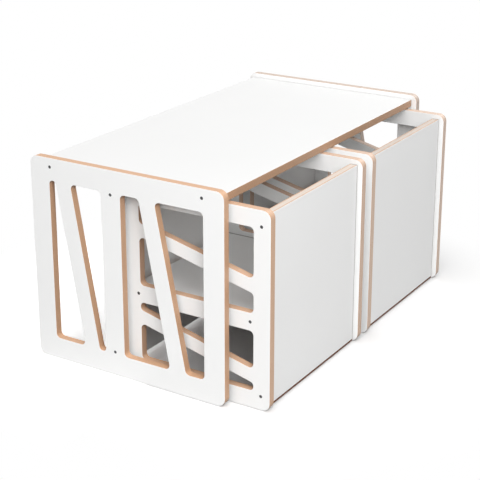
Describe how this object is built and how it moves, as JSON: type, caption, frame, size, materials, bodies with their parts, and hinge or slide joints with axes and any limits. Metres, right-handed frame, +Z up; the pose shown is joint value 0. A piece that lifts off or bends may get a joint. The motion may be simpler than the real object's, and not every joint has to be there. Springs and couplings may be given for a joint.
{
  "type": "kids table",
  "caption": "Low children's table of white-laminated plywood with pierced end panels and a lengthwise divider, with cube chairs that slide out from under one long side.",
  "frame": {"origin": "on the floor, at the middle of the box round the table with its chairs parked", "axes": "+X along the table, -Y towards the side the chairs are on, +Z up"},
  "size_m": [0.9, 0.5686, 0.457],
  "materials": {
    "laminated_ply": "satin white laminate on both faces, bare birch plywood edges",
    "screw_steel": "dark plated steel"
  },
  "bodies": {
    "table": {"end_panel_left": "laminated_ply", "end_panel_right": "laminated_ply", "table_top": "laminated_ply", "divider_panel": "laminated_ply", "top_screws_left": "screw_steel", "top_screws_right": "screw_steel", "divider_screws_left": "screw_steel", "divider_screws_right": "screw_steel"},
    "left_chair": {"left_chair_side_left": "laminated_ply", "left_chair_side_right": "laminated_ply", "left_chair_seat": "laminated_ply", "left_chair_back": "laminated_ply", "left_chair_seat_screws_left": "screw_steel", "left_chair_seat_screws_right": "screw_steel", "left_chair_back_screws_left": "screw_steel", "left_chair_back_screws_right": "screw_steel"},
    "right_chair": {"right_chair_side_left": "laminated_ply", "right_chair_side_right": "laminated_ply", "right_chair_seat": "laminated_ply", "right_chair_back": "laminated_ply", "right_chair_seat_screws_left": "screw_steel", "right_chair_seat_screws_right": "screw_steel", "right_chair_back_screws_left": "screw_steel", "right_chair_back_screws_right": "screw_steel"}
  },
  "joints": [
    {"name": "left_chair_slide", "type": "slide", "parent": "table", "child": "left_chair", "axis": [0, -1, 0], "range_m": [0, 0.45]},
    {"name": "right_chair_slide", "type": "slide", "parent": "table", "child": "right_chair", "axis": [0, -1, 0], "range_m": [0, 0.45]}
  ]
}
